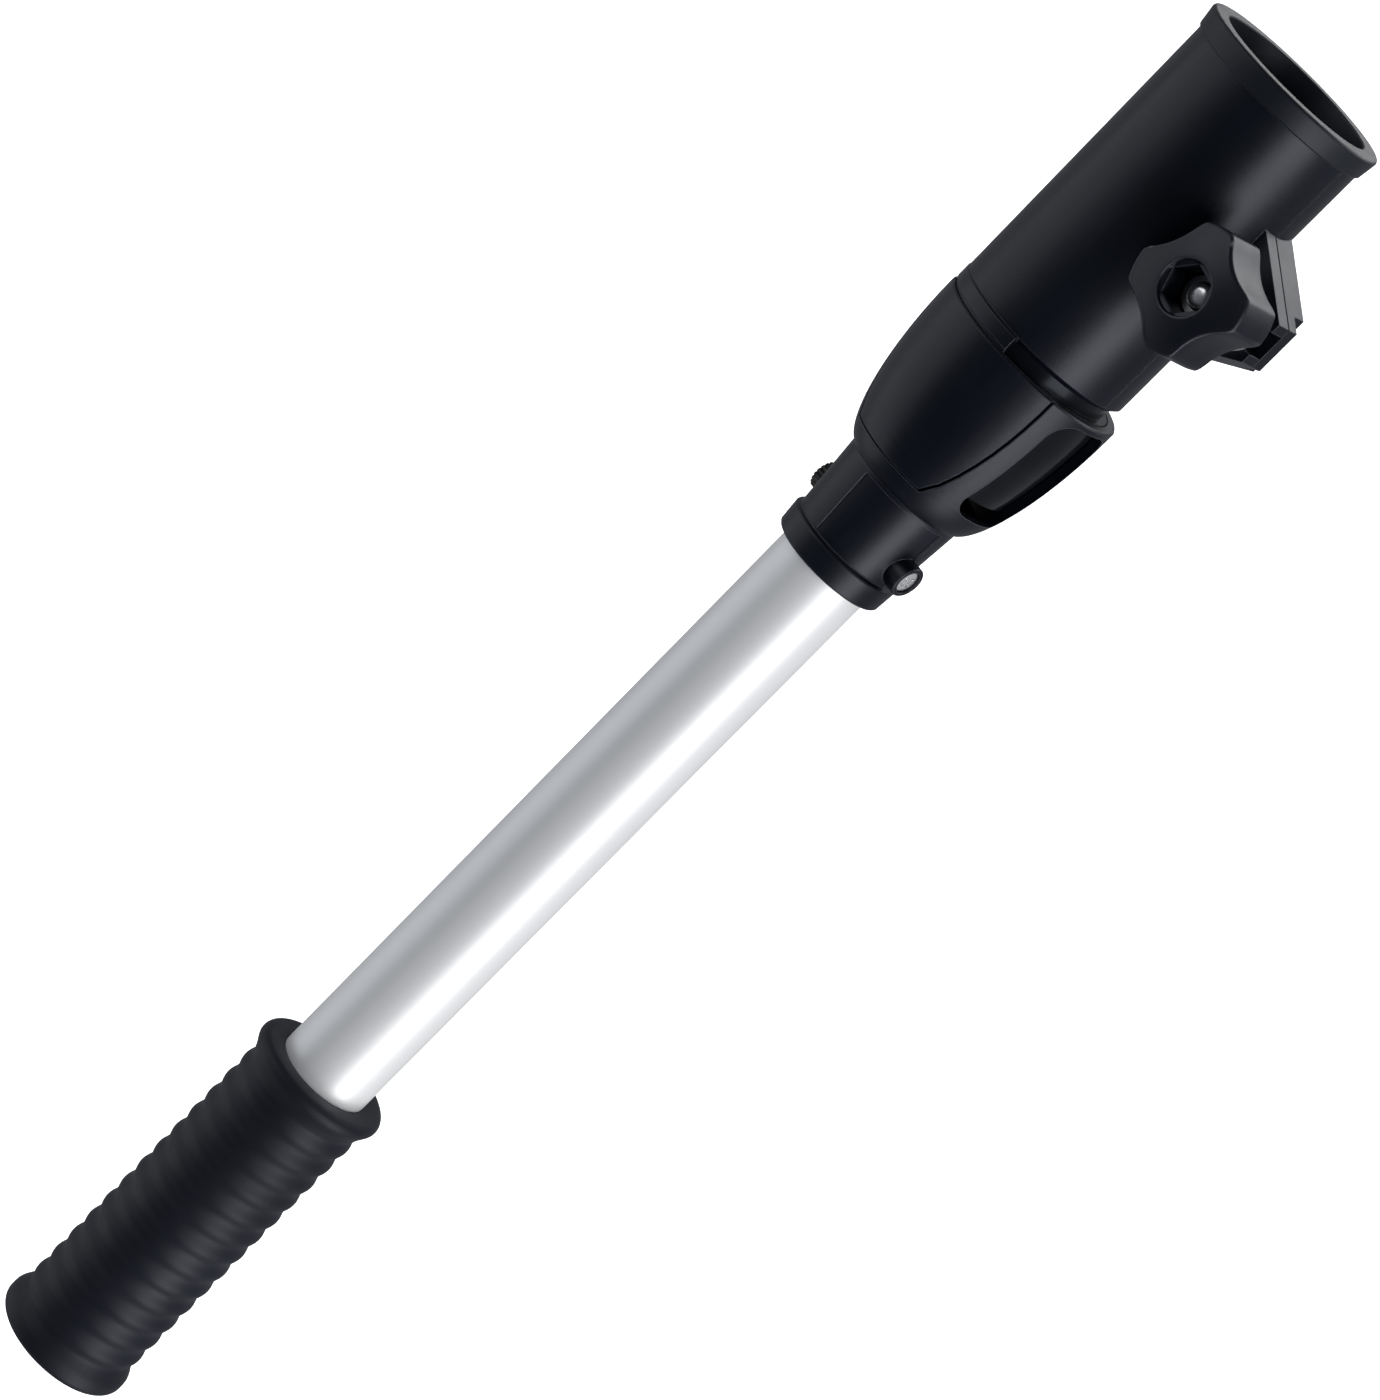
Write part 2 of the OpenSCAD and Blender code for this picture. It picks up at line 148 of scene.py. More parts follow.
def turned_along_x(name, outline, axis_y, closed, count=256):
    """Revolves an outline of (x, r) points about a line along X at y = axis_y."""
    def ring(x, r):
        return [(x, axis_y + r * math.cos(TAU * i / count), r * math.sin(TAU * i / count))
                for i in range(count)]
    return mesh_from_rings(name, [ring(x, r) for x, r in outline], closed)


def knob_point(r, z, turn):
    """A point at a radius and a turn about the knob's axis."""
    angle = turn + LOBE_PHASE
    return (EAR_X + r * math.cos(angle), KNOB_Y + r * math.sin(angle), z)


def turned_along_z(name, outline, closed, radius_at, count):
    """Revolves (r, z) points about the knob's axis, each reshaped by radius_at(r, z, turn)."""
    turns = [TAU * i / count for i in range(count)]
    rings = [[knob_point(radius_at(r, z, t), z, t) for t in turns] for r, z in outline]
    return mesh_from_rings(name, rings, closed)


# ---- Material helpers ----
class Graph:
    """A small wrapper that adds and links shader nodes in one material."""

    def __init__(self, name):
        self.material = bpy.data.materials.new(name)
        self.material.use_nodes = True
        self.tree = self.material.node_tree
        self.shader = self.tree.nodes["Principled BSDF"]
        self.place = self.add("ShaderNodeTexCoord").outputs["Object"]

    def add(self, kind, **settings):
        node = self.tree.nodes.new(kind)
        for key, value in settings.items():
            setattr(node, key, value)
        return node

    def link(self, out, socket):
        self.tree.links.new(out, socket)

    def set(self, **values):
        for key, value in values.items():
            self.shader.inputs[key.replace("_", " ")].default_value = value

    def stretched(self, stretch):
        node = self.add("ShaderNodeMapping")
        self.link(self.place, node.inputs["Vector"])
        node.inputs["Scale"].default_value = stretch
        return node.outputs["Vector"]

    def noise(self, scale, detail=3.0, stretch=None, rough=0.5):
        node = self.add("ShaderNodeTexNoise")
        self.link(self.stretched(stretch) if stretch else self.place, node.inputs["Vector"])
        node.inputs["Scale"].default_value = scale
        node.inputs["Detail"].default_value = detail
        node.inputs["Roughness"].default_value = rough
        return node.outputs["Fac"]

    def specks(self, scale, low, high):
        """Small round spots: near 1 in the middle of some cells, 0 elsewhere."""
        node = self.add("ShaderNodeTexVoronoi")
        self.link(self.place, node.inputs["Vector"])
        node.inputs["Scale"].default_value = scale
        return self.ranged(node.outputs["Distance"], low, high, 1.0, 0.0)

    def ranged(self, value, low, high, to_low, to_high):
        node = self.add("ShaderNodeMapRange")
        self.link(value, node.inputs["Value"])
        node.inputs["From Min"].default_value = low
        node.inputs["From Max"].default_value = high
        node.inputs["To Min"].default_value = to_low
        node.inputs["To Max"].default_value = to_high
        return node.outputs["Result"]

    def mixed(self, factor, first, second):
        """Blends two colours, each a tuple or the output of another node."""
        node = self.add("ShaderNodeMix", data_type="RGBA")
        self.link(factor, node.inputs["Factor"])
        for socket, colour in (("A", first), ("B", second)):
            if isinstance(colour, tuple):
                node.inputs[socket].default_value = (*colour, 1)
            else:
                self.link(colour, node.inputs[socket])
        return node.outputs["Result"]

    def summed(self, first, second):
        node = self.add("ShaderNodeMath", operation="ADD")
        self.link(first, node.inputs[0])
        self.link(second, node.inputs[1])
        return node.outputs["Value"]

    def color(self, out):
        self.link(out, self.shader.inputs["Base Color"])

    def roughness(self, out):
        self.link(out, self.shader.inputs["Roughness"])

    def edge_mask(self, radius):
        """1 along sharp outer edges, falling to 0 within a radius of them."""
        soft = self.add("ShaderNodeBevel", samples=6)
        soft.inputs["Radius"].default_value = radius
        dot = self.add("ShaderNodeVectorMath", operation="DOT_PRODUCT")
        self.link(soft.outputs["Normal"], dot.inputs[0])
        self.link(self.add("ShaderNodeNewGeometry").outputs["Normal"], dot.inputs[1])
        flat, sharp = 0.985, 0.8
        return self.ranged(dot.outputs["Value"], flat, sharp, 0.0, 1.0)

    def crest_mask(self, low, high):
        """1 on outer roundings and 0 on flat and hollow faces."""
        pointiness = self.add("ShaderNodeNewGeometry").outputs["Pointiness"]
        return self.ranged(pointiness, low, high, 0.0, 1.0)

    def bumped(self, heights, edge=None):
        """Chains bumps of (height, strength, distance in metres) over a rounded edge."""
        normal = None
        if edge:
            soft = self.add("ShaderNodeBevel", samples=6)
            soft.inputs["Radius"].default_value = edge
            normal = soft.outputs["Normal"]
        for height, strength, distance in heights:
            bump = self.add("ShaderNodeBump")
            bump.inputs["Strength"].default_value = strength
            bump.inputs["Distance"].default_value = distance
            self.link(height, bump.inputs["Height"])
            if normal:
                self.link(normal, bump.inputs["Normal"])
            normal = bump.outputs["Normal"]
        self.link(normal, self.shader.inputs["Normal"])


# Painted highlight: a lighter colour laid along the edges and roundings of the moulded plastics.
EDGE_HIGHLIGHT_PAINT = (0.085, 0.09, 0.105)
COOL_GLOSS = (0.87, 0.90, 1.0, 1)
GRAIN_HEIGHT = 0.00012


def moulded(name, tint, rough, edge, grain=0.12):
    """Satin moulded plastic: fine grain, uneven gloss, faint handling rubs, and a painted
    highlight: a lighter colour along edges and roundings.
    Edges are softened over edge metres. Where edge is None, the mesh's own roundings are used."""
    g = Graph(name)
    fine = g.noise(2600, 2.0)
    cloudy = g.noise(38, 4.0)
    rubs = g.noise(90, 5.0, stretch=(0.35, 1.6, 1.6), rough=0.6)
    worn = tuple(2.1 * c + 0.0015 for c in tint)
    body = g.mixed(g.ranged(rubs, 0.55, 0.8, 0.0, 0.55), tint, worn)
    # Painted highlight: edges and roundings get the lighter highlight colour.
    crest = g.edge_mask(edge) if edge else g.crest_mask(0.515, 0.575)
    g.color(g.mixed(crest, body, EDGE_HIGHLIGHT_PAINT))
    g.roughness(g.summed(g.ranged(cloudy, 0.3, 0.7, rough - 0.035, rough + 0.035),
                         g.ranged(rubs, 0.4, 0.75, 0.0, 0.05)))
    g.set(Specular_IOR_Level=0.3, Specular_Tint=COOL_GLOSS)
    g.bumped([(fine, grain, GRAIN_HEIGHT), (cloudy, 0.05, 0.0006)], edge)
    return g.material


def grip_rubber():
    """Matt navy-black rubber with moulding grain, specks of dust and rubbed patches of lower
    roughness.
    """
    g = Graph("grip_rubber")
    fine = g.noise(1900, 3.0)
    cloudy = g.noise(45, 4.0)
    dust = g.specks(520, 0.05, 0.16)
    rubbed = g.noise(70, 5.0, stretch=(1.4, 0.5, 0.5), rough=0.62)
    darker, lighter = (0.0036, 0.0046, 0.0087), (0.0058, 0.0071, 0.0125)
    dust_grey = (0.05, 0.053, 0.06)
    base = g.mixed(g.ranged(cloudy, 0.35, 0.7, 0.0, 1.0), darker, lighter)
    g.color(g.mixed(g.ranged(dust, 0.0, 1.0, 0.0, 0.1), base, dust_grey))
    g.roughness(g.ranged(rubbed, 0.35, 0.7, 0.56, 0.47))
    g.set(Specular_IOR_Level=0.27, Specular_Tint=(0.88, 0.92, 1.0, 1))
    g.set(Sheen_Weight=0.05, Sheen_Roughness=0.4)
    g.bumped([(fine, 0.16, GRAIN_HEIGHT), (cloudy, 0.12, 0.0006)])
    return g.material


def anodised_tube():
    """Satin anodised aluminium: blasted micro-texture over faint drawing lines along the tube."""
    g = Graph("anodised_tube")
    blast = g.noise(3600, 2.0)
    drawn = g.noise(420, 3.0, stretch=(0.012, 1.0, 1.0))
    cloudy = g.noise(16, 3.0, stretch=(0.5, 1.0, 1.0))
    duller, brighter = (0.755, 0.76, 0.77), (0.79, 0.794, 0.80)
    g.color(g.mixed(g.ranged(cloudy, 0.3, 0.7, 0.0, 1.0), duller, brighter))
    g.roughness(g.summed(g.ranged(cloudy, 0.3, 0.7, 0.36, 0.40),
                         g.ranged(drawn, 0.3, 0.7, -0.015, 0.015)))
    around = g.add("ShaderNodeTangent", direction_type="RADIAL", axis="X")
    g.link(around.outputs["Tangent"], g.shader.inputs["Tangent"])
    g.set(Metallic=0.3, Anisotropic=0.5)
    g.bumped([(blast, 0.10, 0.00006), (drawn, 0.05, 0.00008)])
    return g.material


def plated_steel(name, tint, rough, edge, metal):
    """Bright zinc plate with fine scratches and slightly dull patches."""
    g = Graph(name)
    scratches = g.noise(700, 4.0, stretch=(1.0, 0.08, 1.0), rough=0.65)
    patches = g.noise(420, 3.0)
    dull = tuple(0.82 * c for c in tint)
    g.color(g.mixed(g.ranged(patches, 0.35, 0.7, 0.0, 1.0), tint, dull))
    g.roughness(g.summed(g.ranged(patches, 0.35, 0.7, rough, rough + 0.08),
                         g.ranged(scratches, 0.5, 0.75, 0.0, 0.08)))
    g.set(Metallic=metal)
    g.bumped([(scratches, 0.08, 0.00005)], edge)
    return g.material


def blackened_steel():
    """Dark oxide on the knurled nut, worn to metal in scattered patches."""
    g = Graph("dark_nut")
    patches = g.noise(900, 4.0)
    oxide, bare_metal = (0.018, 0.018, 0.018), (0.09, 0.088, 0.085)
    g.color(g.mixed(g.ranged(patches, 0.5, 0.75, 0.0, 0.6), oxide, bare_metal))
    g.roughness(g.ranged(patches, 0.35, 0.7, 0.46, 0.34))
    g.set(Metallic=0.7)
    g.bumped([(patches, 0.15, 0.00006)], 0.0001)
    return g.material


def glossy_core():
    """Smooth glossy moulding with slow waves and a few hairline scratches."""
    g = Graph("gloss_core")
    waves = g.noise(55, 2.0)
    hairs = g.noise(900, 3.0, stretch=(0.03, 1.0, 1.0), rough=0.6)
    darker, lighter = (0.0045, 0.005, 0.0065), (0.007, 0.0075, 0.0095)
    g.color(g.mixed(g.ranged(waves, 0.35, 0.7, 0.0, 1.0), darker, lighter))
    g.roughness(g.summed(g.ranged(waves, 0.35, 0.7, 0.14, 0.26),
                         g.ranged(hairs, 0.55, 0.8, 0.0, 0.12)))
    g.set(Specular_IOR_Level=0.13, Specular_Tint=(0.8, 0.88, 1.0, 1))
    g.bumped([(waves, 0.3, 0.0016), (hairs, 0.03, 0.00004)], 0.0003)
    return g.material


def floor_paper():
    """White studio paper. The camera sees it evenly lit, and the object mirrors it only dimly."""
    g = Graph("floor_paper")
    fibres = g.noise(60, 4.0)
    black, white, fibre_white = (0.0, 0.0, 0.0), (1.0, 1.0, 1.0), (0.995, 0.995, 0.996)
    tone = g.mixed(g.ranged(fibres, 0.3, 0.7, 0.0, 1.0), white, fibre_white)
    camera_ray = g.add("ShaderNodeLightPath").outputs["Is Camera Ray"]
    g.color(g.mixed(camera_ray, black, tone))
    g.link(g.mixed(camera_ray, FLOOR_BOUNCE, tone), g.shader.inputs["Emission Color"])
    g.set(Emission_Strength=FLOOR_GLOW, Roughness=0.9, Specular_IOR_Level=0.0)
    return g.material


# ---- Pieces ----
def add_tube():
    chamfer, bevel, lead, spans = 0.4, 0.1, 1.0, 24
    inner = TUBE_R - TUBE_WALL
    x0, x1 = TUBE_LOW.x, TUBE_HIGH.x
    outline = [(x0, inner + chamfer), (x0 + chamfer, TUBE_R - bevel), (x0 + lead, TUBE_R)]
    outline += [(x0 + lead + (x1 - x0 - 2 * lead) * i / spans, TUBE_R) for i in range(1, spans + 1)]
    outline += [(x1, inner + chamfer), (x1 - chamfer, inner), (x0 + chamfer, inner)]
    mesh = turned_along_x("tube_drawn", outline, TUBE_Y, closed=True)
    piece("tube_drawn", mesh, anodised_tube(), "root", "tube")


def add_grip():
    """Closed end, end flange, soft ribs, top flange, and the bore that the tube fills."""
    end_round, top_round, steps = 2.4, 2.2, 18
    bore, floor_t = TUBE_R + 0.04, 3.4
    ribs0, ribs1 = GRIP_X0 + END_FLANGE, GRIP_X1 - TOP_FLANGE
    pitch = (ribs1 - ribs0) / RIB_COUNT

    def rib_r(u):
        return GRIP_R - RIB_DEPTH * (0.5 + 0.5 * math.cos(TAU * u))

    end_face = [(0.15, AXIS_R), (0.1, 6.0), (0.0, 9.0)]
    end_fall = [(3.4, 0.0), (4.3, -0.08), (5.1, -0.36), (5.9, -0.8)]
    into_ribs = [(6.7, 0.12), (7.5, -0.2)]
    out_of_ribs = [(0.6, -0.45), (1.6, -0.12), (2.6, 0.35)]
    top_rise = [(3.5, -0.8), (4.4, -0.3), (5.0, -0.06)]
    mouth = [(0.0, 0.5), (-0.15, 0.2), (-0.5, 0.04), (-30, 0.04)]
    outline = [(GRIP_X0 + x, r) for x, r in end_face]
    outline += arc(GRIP_X0 + end_round, GRIP_END_R - end_round, end_round, 180, 90, 10)
    outline += [(GRIP_X0 + x, GRIP_END_R + r) for x, r in end_fall]
    outline += [(GRIP_X0 + x, GRIP_R + r) for x, r in into_ribs]
    outline += [(ribs0 + i / steps * pitch, rib_r(i / steps)) for i in range(RIB_COUNT * steps + 1)]
    outline += [(ribs1 + x, GRIP_R + r) for x, r in out_of_ribs]
    outline += [(ribs1 + x, GRIP_TOP_R + r) for x, r in top_rise]
    outline += arc(GRIP_X1 - top_round, GRIP_TOP_R - top_round, top_round, 85, 0, 10)
    outline += [(GRIP_X1 + x, TUBE_R + r) for x, r in mouth]
    outline += [(GRIP_X0 + floor_t, bore), (GRIP_X0 + floor_t, AXIS_R)]
    mesh = turned_along_x("grip_moulding", outline, TUBE_Y, closed=True)
    piece("grip_moulding", mesh, grip_rubber(), "root", "grip", sharp=60)


def add_liner(material):
    """Sleeve in the socket, with a lip at the mouth that has rounded edges."""
    back_round, front_round, mouth_round = 0.45, 0.9, 0.55
    outline = [(LINER_BACK_X, BORE_R), (LINER_BACK_X, LINER_OUT_R), (LIP_X, LINER_OUT_R)]
    outline += [(LIP_X, LIP_R0 - back_round)]
    outline += arc(LIP_X + back_round, LIP_R0 - back_round, back_round, 180, 92, 5)
    outline += arc(-front_round, LIP_R1 - front_round, front_round, 88, 0, 8)
    outline += arc(-mouth_round, BORE_R + mouth_round, mouth_round, 0, -90, 6)
    outline += [(-6.0, BORE_R), (-40.0, BORE_R)]
    mesh = turned_along_x("liner_sleeve", outline, 0.0, closed=True)
    piece("liner_sleeve", mesh, material, "root", "liner", sharp=55)


def lobe_radius(turn):
    """Radius of the lobed outline, its corners rounded by a smooth minimum."""
    pitch = TAU / LOBE_COUNT
    from_lobe = abs((turn + pitch / 2) % pitch - pitch / 2)
    from_scallop = pitch / 2 - from_lobe
    reach = LOBE_WAIST_R + SCALLOP_R
    inside = SCALLOP_R ** 2 - (reach * math.sin(from_scallop)) ** 2
    if inside > 0:
        scallop = reach * math.cos(from_scallop) - math.sqrt(inside)
    else:
        scallop = LOBE_TIP_R + 9
    blend = 1.9
    overlap = max(blend - abs(LOBE_TIP_R - scallop), 0) / blend
    return min(LOBE_TIP_R, scallop) - overlap * overlap * blend / 4


def hexagon_radius(across_flats, turn):
    return across_flats / 2 / math.cos(turn % (TAU / 6) - TAU / 12)


def dome_z(r):
    """Height of the knob's face, falling from the dish's rim to the tips of the lobes."""
    return KNOB_FRONT - KNOB_DOME * max(0.0, (r - DISH_R) / (LOBE_TIP_R - DISH_R)) ** 1.25


def add_knob(material):
    """Rings from the hub's bore, round the lobes, over the dome and down the pocket."""
    count, back_round, front_round = 288, 0.9, 1.1
    turns = [TAU * i / count for i in range(count)]
    lobes = [lobe_radius(t) for t in turns]
    pocket = [hexagon_radius(POCKET_AF, t) for t in turns]
    rings = []

    def ring(radii, heights):
        rings.append([knob_point(r, z, t) for t, r, z in zip(turns, radii, heights)])

    def level_ring(radii, z):
        ring(radii, [z] * count)

    # the hub, from its bore and its foot to the knob's back
    foot, back = KNOB_HUB_Z, KNOB_BACK
    hub = [(BOLT_HOLE_R, foot + 0.4), (BOLT_HOLE_R + 0.4, foot), (KNOB_HUB_R - 0.5, foot),
           (KNOB_HUB_R - 0.15, foot + 0.15), (KNOB_HUB_R, foot + 0.5),
           (KNOB_HUB_R, back - 0.6), (KNOB_HUB_R + 0.2, back - 0.2), (KNOB_HUB_R + 0.6, back)]
    for r, z in hub:
        level_ring([r] * count, z)
    # the rounding at the back of the lobes
    for i in range(6):
        t = math.radians(90 * i / 5)
        level_ring([r - back_round * (1 - math.sin(t)) for r in lobes],
                   back + back_round * (1 - math.cos(t)))
    # the walls of the lobes, up to the rounding at the front
    side_start = back + back_round
    crest = [dome_z(r - front_round) for r in lobes]
    for i in range(1, 4):
        ring(lobes, [side_start + (c - front_round - side_start) * i / 4 for c in crest])
    for i in range(8):
        t = math.radians(90 * i / 7)
        ring([r - front_round * (1 - math.cos(t)) for r in lobes],
             [c - front_round * (1 - math.sin(t)) for c in crest])
    # the domed face, narrowing from the lobes to the dish's round rim
    rim = DISH_R + 0.45
    for i in range(1, 9):
        k = i / 8
        radii = [(r - front_round) * (1 - k) + rim * k for r in lobes]
        ring(radii, [dome_z(r) for r in radii])
    # the dish and the nut's pocket
    floor = KNOB_FRONT - DISH_DEPTH
    dish = [(0.2, KNOB_FRONT - 0.04), (0.0, KNOB_FRONT - 0.16), (-0.14, KNOB_FRONT - 0.4),
            (-0.34, floor - 0.05)]
    for widening, z in dish:
        level_ring([DISH_R + widening] * count, z)
    pocket_walls = [(0.22, floor - 0.22), (0.066, floor - 0.3), (0.0, floor - 0.5),
                    (0.0, NUT_TOP + 1.5), (0.0, NUT_Z0)]
    for lead, z in pocket_walls:
        level_ring([p + lead for p in pocket], z)
    level_ring([BOLT_HOLE_R] * count, NUT_Z0)
    mesh = mesh_from_rings("knob_star", rings)
    piece("knob_star", mesh, material, "knob", "knob", sharp=50)


def add_knob_nut(material):
    """A hexagon nut whose corners are turned down to cones on both faces."""
    bore, bore_cone, corner_cone, face_r = BOLT_R + 0.06, 0.5, 0.55, NUT_AF / 2 - 0.1
    lower = [(bore, NUT_Z0 + bore_cone), (BOLT_R + 0.5, NUT_Z0), (face_r, NUT_Z0),
             (NUT_CORNER_R, NUT_Z0 + corner_cone)]
    upper = [(NUT_CORNER_R, NUT_TOP - corner_cone), (face_r, NUT_TOP), (BOLT_R + 0.5, NUT_TOP),
             (bore, NUT_TOP - bore_cone)]

    def hexagonal(r, z, turn):
        return min(r, hexagon_radius(NUT_AF, turn))

    mesh = turned_along_z("knob_nut_hex", lower + upper, True, hexagonal, count=288)
    piece("knob_nut_hex", mesh, material, "knob", "knob_nut", sharp=25)


def add_clamp_bolt(material):
    """Hexagon head, plain shank, a rolled thread near the end, and a rounded point."""
    pitch, depth, thread_from, rings_per_turn = 1.0, 0.32, 12.0, 12
    rows = int((BOLT_END - thread_from) / pitch * rings_per_turn)
    thread_end = BOLT_END - 0.7
    head = [(AXIS_R, 0.4), (2.2, 0.4), (2.6, 0.0), (NUT_AF / 2 - 0.1, 0.0), (NUT_CORNER_R, 0.5),
            (NUT_CORNER_R, BOLT_HEAD_T), (BOLT_R, BOLT_HEAD_T)]
    point = [(2.8, -0.75), (2.62, -0.62), (2.35, -0.36), (2.0, -0.17), (1.5, -0.05), (0.9, 0.0),
             (AXIS_R, 0.02)]
    outline = [(r, BOLT_HEAD_Z + z) for r, z in head]
    rise = (thread_end - thread_from) / rows
    outline += [(BOLT_R, thread_from + rise * i) for i in range(rows + 1)]
    outline += [(r, BOLT_END + z) for r, z in point]

    def threaded(r, z, turn):
        if z <= BOLT_SEAT:
            return min(r, hexagon_radius(NUT_AF, turn)) if r > BOLT_R else r
        if thread_from < z < BOLT_END - 0.6 and r >= BOLT_R:
            wave = (z / pitch - turn / TAU) % 1.0
            return r - depth * abs(2 * wave - 1)
        return r

    mesh = turned_along_z("clamp_bolt_m6", outline, False, threaded, count=96)
    piece("clamp_bolt_m6", mesh, material, "root", "clamp_bolt", sharp=40)


def cross_depth(r, turn):
    """Depth of the cross recess at a radius and a turn, with sloping walls and ends."""
    arm, half, depth, wall_run, end_run = 1.9, 0.55, 1.5, 0.2, 0.5
    one, other = (abs(r * wave(turn + TAU / 8)) for wave in (math.cos, math.sin))
    walls = min(1.0, max(0.0, (half - min(one, other)) / wall_run))
    ends = min(1.0, max(0.0, (arm - max(one, other)) / end_run))
    return depth * walls * ends


def add_cross_bolt(material):
    """Domed cross-head screw along Y, its recess pressed into a fine polar grid."""
    count, face_r, face_rings, dome, centre_r, point = 192, 2.75, 40, 0.28, 0.01, 0.4
    turns = [TAU * i / count for i in range(count)]

    def ring(r, y):
        return [(CROSS_X + r * math.cos(t), y, r * math.sin(t)) for t in turns]

    def face_ring(r):
        y = CROSS_HEAD_Y + dome * (r / 3) ** 2
        return [(CROSS_X + r * math.cos(t), y + cross_depth(r, t), r * math.sin(t)) for t in turns]

    head_side = [(2.95, 0.36), (3.08, 0.52), (CROSS_HEAD_R, 0.8), (CROSS_HEAD_R, CROSS_HEAD_T),
                 (CROSS_SHANK_R, CROSS_HEAD_T)]
    shank = [(CROSS_SHANK_R, CROSS_END_Y - point), (CROSS_SHANK_R - point, CROSS_END_Y),
             (centre_r, CROSS_END_Y)]
    rings = [face_ring(centre_r)]
    rings += [face_ring(face_r * i / face_rings) for i in range(1, face_rings + 1)]
    rings += [ring(r, CROSS_HEAD_Y + y) for r, y in head_side]
    rings += [ring(r, y) for r, y in shank]
    mesh = mesh_from_rings("cross_screw", rings, closed=False)
    piece("cross_screw", mesh, material, "root", "cross_bolt", sharp=35)


def dress(node, material):
    """Puts a material on a node that is shown as its CAD mesh."""
    mesh = nodes[node].data
    mesh.materials.clear()
    mesh.materials.append(material)


# ---- Camera: above and in front of the ears' side, a little towards the mouth ----
VIEW_SWING = math.radians(16.9)
VIEW_LIFT = math.radians(60)
VIEW_ROLL = math.radians(45.36)
VIEW_PLACE = Vector((0.14345, -0.56958, 0.98555))
LENS_MM = 130.1
SENSOR_MM = 36.0


def add_camera():
    back = Vector((math.sin(VIEW_SWING), -math.cos(VIEW_SWING) * math.cos(VIEW_LIFT),
                   math.cos(VIEW_SWING) * math.sin(VIEW_LIFT)))
    along = Vector((1, 0, 0))
    along = (along - along.dot(back) * back).normalized()
    across = back.cross(along)
    right = along * math.cos(VIEW_ROLL) - across * math.sin(VIEW_ROLL)
    up = along * math.sin(VIEW_ROLL) + across * math.cos(VIEW_ROLL)
    data = bpy.data.cameras.new("camera")
    data.lens = LENS_MM
    data.sensor_width = SENSOR_MM
    data.clip_end = 20
    camera = bpy.data.objects.new("camera", data)
    camera.matrix_world = Matrix((right, up, back)).transposed().to_4x4()
    camera.location = VIEW_PLACE
    bpy.context.scene.collection.objects.link(camera)
    bpy.context.scene.camera = camera


# ---- Floor and light ----
FLOOR_Z = -0.36
FLOOR_SIZE = 8.0
FLOOR_GLOW = 1.05
FLOOR_BOUNCE = (0.24, 0.245, 0.26)
SKY_TINT = (0.78, 0.86, 1.0, 1)
SKY_GLOW = 0.11


def add_floor():
    b = bmesh.new()
    bmesh.ops.create_grid(b, x_segments=4, y_segments=4, size=FLOOR_SIZE)
    mesh = bpy.data.meshes.new("floor")
    b.to_mesh(mesh)
    b.free()
    mesh.materials.append(floor_paper())
    floor = bpy.data.objects.new("floor", mesh)
    floor.location = (0, 0, FLOOR_Z)
    bpy.context.scene.collection.objects.link(floor)


def add_softbox(name, place, target, size, glow, tint=(1, 1, 1), tilt=0.0):
    """A rectangular light of a given radiance, turned in its own plane, not seen by the camera."""
    data = bpy.data.lights.new(name, "AREA")
    data.shape = "RECTANGLE"
    data.size, data.size_y = size
    data.energy = glow * math.pi * size[0] * size[1]
    data.color = tint
    light = bpy.data.objects.new(name, data)
    aim = (Vector(place) - Vector(target)).to_track_quat("Z", "Y")
    light.matrix_world = (aim.to_matrix() @ Matrix.Rotation(tilt, 3, "Z")).to_4x4()
    light.location = place
    light.visible_camera = False
    bpy.context.scene.collection.objects.link(light)


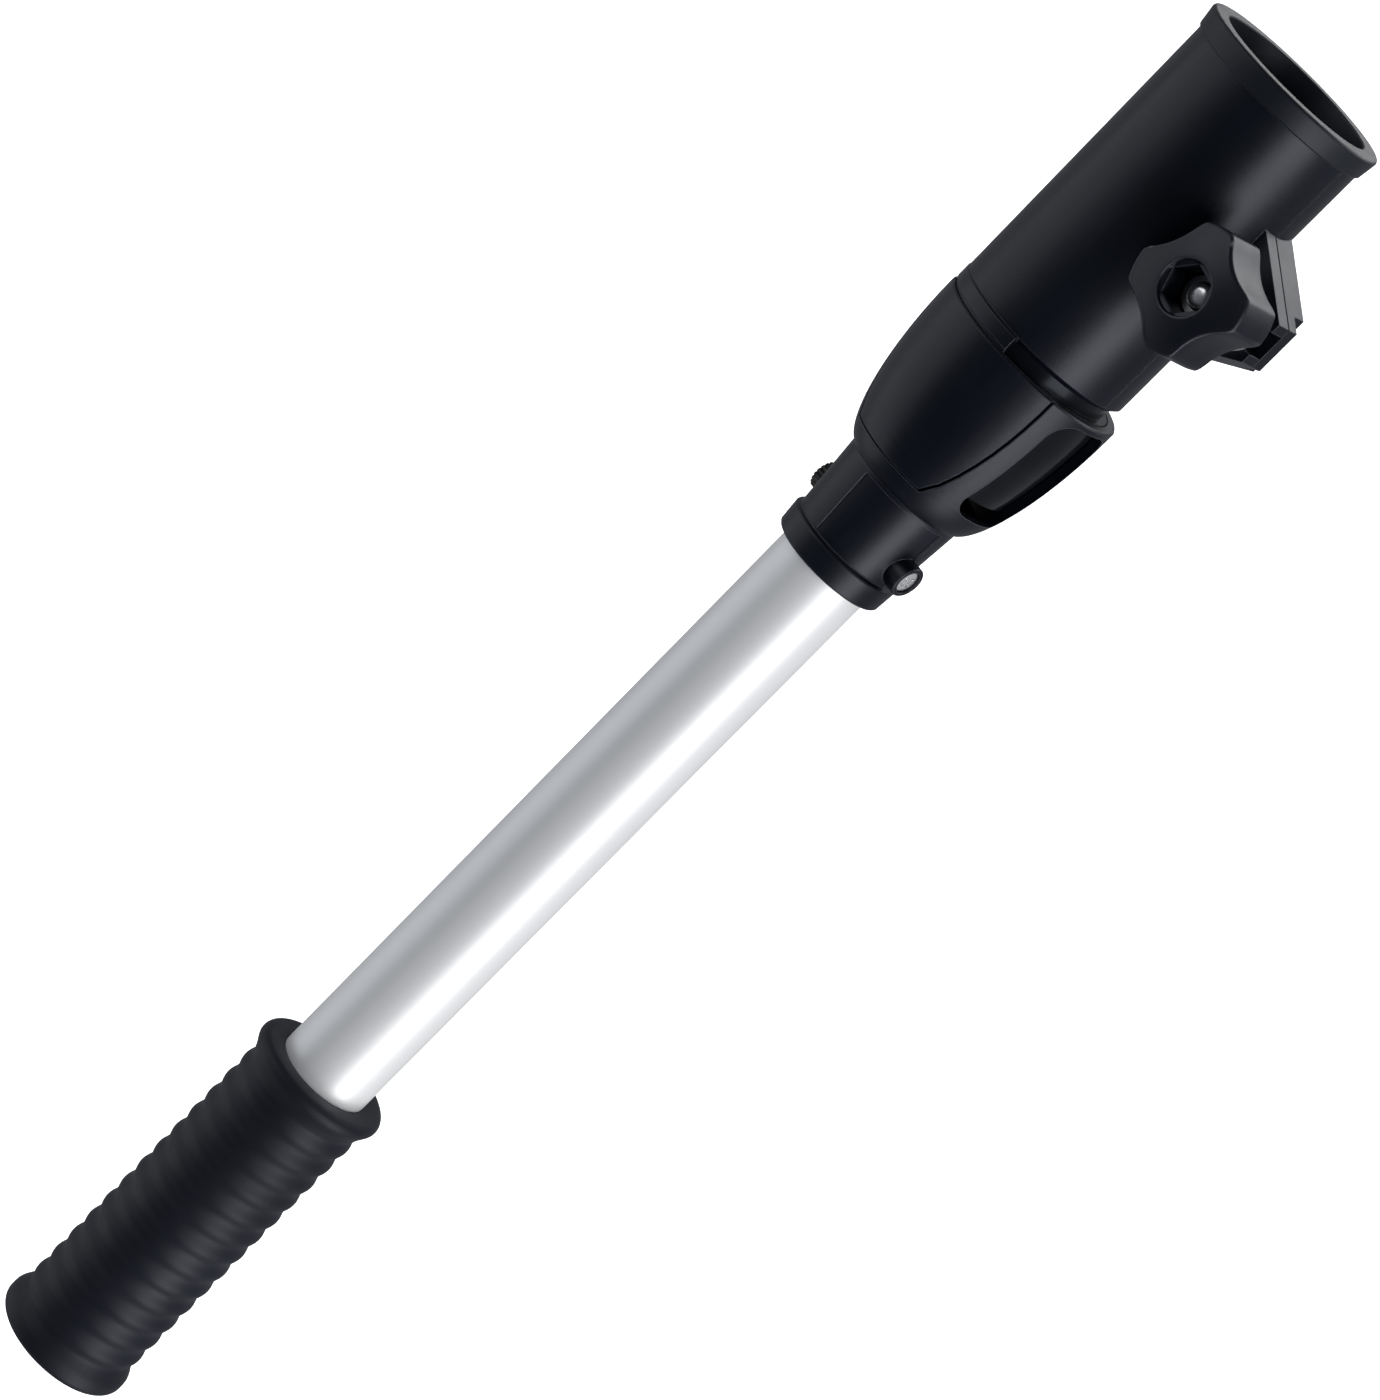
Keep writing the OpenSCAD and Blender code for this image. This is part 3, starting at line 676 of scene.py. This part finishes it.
def add_lights():
    add_softbox("near_softbox", place=(-0.58, -0.985, 0.06), target=(-0.58, 0, 0), size=(1.7, 0.56),
                glow=5.1, tilt=math.radians(14))
    add_softbox("far_softbox", place=(-0.45, 0.90, 0.50), target=(-0.45, 0, 0), size=(2.6, 1.1),
                glow=0.95, tint=(0.96, 0.98, 1.0))
    add_softbox("right_softbox", place=(0.22, 0.52, 1.0), target=(-0.05, 0, 0), size=(0.5, 0.5),
                glow=1.9)
    add_softbox("floor_glow", place=(0.34, -0.05, FLOOR_Z + 0.02), target=(0.34, -0.05, 1),
                size=(0.42, 0.7), glow=3.2)
    world = bpy.data.worlds.new("world")
    world.use_nodes = True
    sky = world.node_tree.nodes["Background"]
    sky.inputs["Color"].default_value = SKY_TINT
    sky.inputs["Strength"].default_value = SKY_GLOW
    bpy.context.scene.world = world
    bpy.context.scene.view_settings.view_transform = "Standard"


# ---- The scene, put together ----
NAVY_BLACK = (0.0017, 0.0028, 0.006)
KNOB_BLACK = (0.0019, 0.003, 0.0066)
RUBBER_BLACK = (0.0042, 0.0058, 0.009)
BARE_PLASTIC = (0.52, 0.50, 0.45)
BRIGHT_ZINC = (0.93, 0.93, 0.94)
SCREW_ZINC = (0.9, 0.9, 0.91)
BOLT_ZINC = (0.62, 0.62, 0.64)
NUT_ZINC = (0.34, 0.34, 0.36)

add_camera()
satin = moulded("satin_plastic", NAVY_BLACK, rough=0.37, edge=0.00035)
smooth = moulded("panel_plastic", NAVY_BLACK, rough=0.36, edge=0.0003, grain=0.08)
knob_plastic = moulded("knob_plastic", KNOB_BLACK, rough=0.36, edge=None, grain=0.10)
liner_rubber = moulded("liner_rubber", RUBBER_BLACK, rough=0.46, edge=0.0004, grain=0.16)
hidden = moulded("hidden_plastic", BARE_PLASTIC, rough=0.5, edge=0.0003)
steel = plated_steel("bright_steel", BRIGHT_ZINC, rough=0.24, edge=0.0002, metal=0.72)
for name in ("housing", "socket"):
    dress(name, satin)
for name in ("panel_front", "panel_back"):
    dress(name, smooth)
for name in ("grip_plug", "bolt_plug"):
    dress(name, hidden)
dress("core", glossy_core())
dress("cross_nut", blackened_steel())
dress("knob_washer", steel)
add_tube()
add_grip()
add_liner(liner_rubber)
add_knob(knob_plastic)
add_knob_nut(plated_steel("nut_steel", NUT_ZINC, rough=0.3, edge=0.0002, metal=1.0))
add_clamp_bolt(plated_steel("bolt_steel", BOLT_ZINC, rough=0.2, edge=0.0002, metal=0.85))
add_cross_bolt(plated_steel("screw_steel", SCREW_ZINC, rough=0.2, edge=None, metal=0.8))
add_floor()
add_lights()
